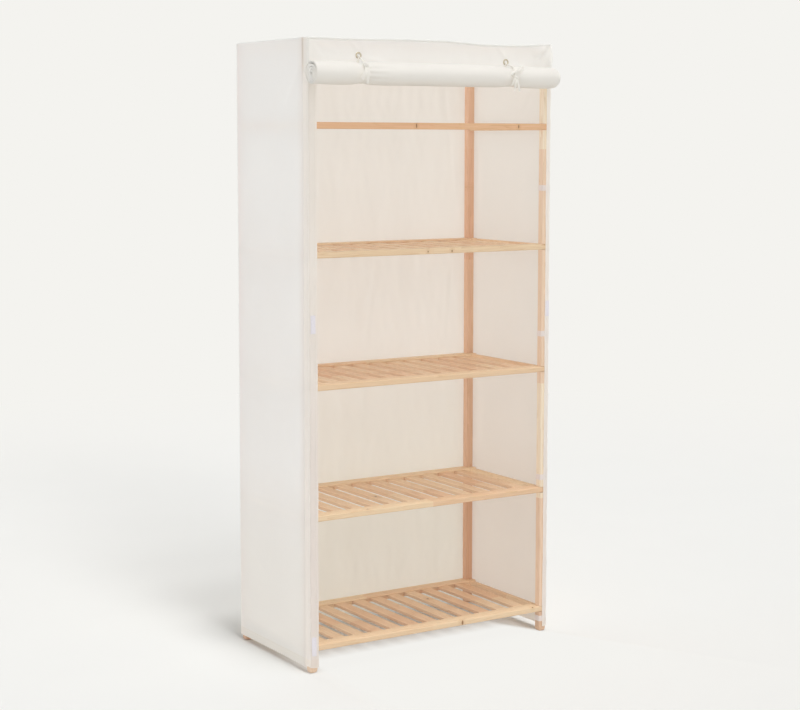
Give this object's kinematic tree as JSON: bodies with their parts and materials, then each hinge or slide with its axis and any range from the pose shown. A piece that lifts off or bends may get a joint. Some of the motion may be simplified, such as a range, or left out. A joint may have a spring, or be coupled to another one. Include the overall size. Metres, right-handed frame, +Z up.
{
  "type": "portable fabric wardrobe",
  "caption": "Free-standing wardrobe: a wooden frame with slatted shelves and a clothes bar under a sewn cloth cover, its cloth front door rolled up and tied.",
  "frame": {"origin": "on the floor, under the middle of the width and under the middle of the whole depth, the rolled-up door included", "axes": "+Z up, +Y towards the back of the wardrobe, +X towards its right side as seen from the front, so the open front faces -Y"},
  "size_m": [0.804, 0.4762, 1.7],
  "materials": {
    "pine": "planed softwood with a thin clear lacquer",
    "cover_cloth": "plain-woven off-white cotton, matte, slightly see-through",
    "tape": "narrow woven cotton tape, matte",
    "hook_and_loop": "pale hook-and-loop tape, matte",
    "brass": "plain pressed brass, satin"
  },
  "bodies": {
    "root": {"foot_front_left": "pine", "foot_front_right": "pine", "foot_rear_left": "pine", "foot_rear_right": "pine", "post_front_left_bay_1": "pine", "post_front_left_bay_2": "pine", "post_front_left_bay_3": "pine", "post_front_left_top": "pine", "post_front_right_bay_1": "pine", "post_front_right_bay_2": "pine", "post_front_right_bay_3": "pine", "post_front_right_top": "pine", "post_rear_left_bay_1": "pine", "post_rear_left_bay_2": "pine", "post_rear_left_bay_3": "pine", "post_rear_left_top": "pine", "post_rear_right_bay_1": "pine", "post_rear_right_bay_2": "pine", "post_rear_right_bay_3": "pine", "post_rear_right_top": "pine", "shelf_1_front_rail_and_slats": "pine", "shelf_1_rear_rail": "pine", "shelf_1_side_rail_left": "pine", "shelf_1_side_rail_right": "pine", "shelf_2_front_rail_and_slats": "pine", "shelf_2_rear_rail": "pine", "shelf_2_side_rail_left": "pine", "shelf_2_side_rail_right": "pine", "shelf_3_front_rail_and_slats": "pine", "shelf_3_rear_rail": "pine", "shelf_3_side_rail_left": "pine", "shelf_3_side_rail_right": "pine", "shelf_4_front_rail_and_slats": "pine", "shelf_4_rear_rail": "pine", "shelf_4_side_rail_left": "pine", "shelf_4_side_rail_right": "pine", "top_rail_front": "pine", "top_rail_rear": "pine", "top_side_rail_left": "pine", "top_side_rail_right": "pine", "clothes_bar": "pine", "upper_side_bar_left": "pine", "upper_side_bar_right": "pine", "cover_side_left": "cover_cloth", "cover_side_right": "cover_cloth", "cover_back": "cover_cloth", "cover_roof": "cover_cloth", "cover_front_return_left": "cover_cloth", "cover_front_return_right": "cover_cloth", "door_header": "cover_cloth", "door_roll": "cover_cloth", "tie_left": "tape", "tie_right": "tape", "eyelet_left": "brass", "eyelet_right": "brass", "post_strap_1": "hook_and_loop", "post_strap_2": "hook_and_loop", "post_strap_3": "hook_and_loop", "post_strap_4": "hook_and_loop"}
  },
  "joints": []
}
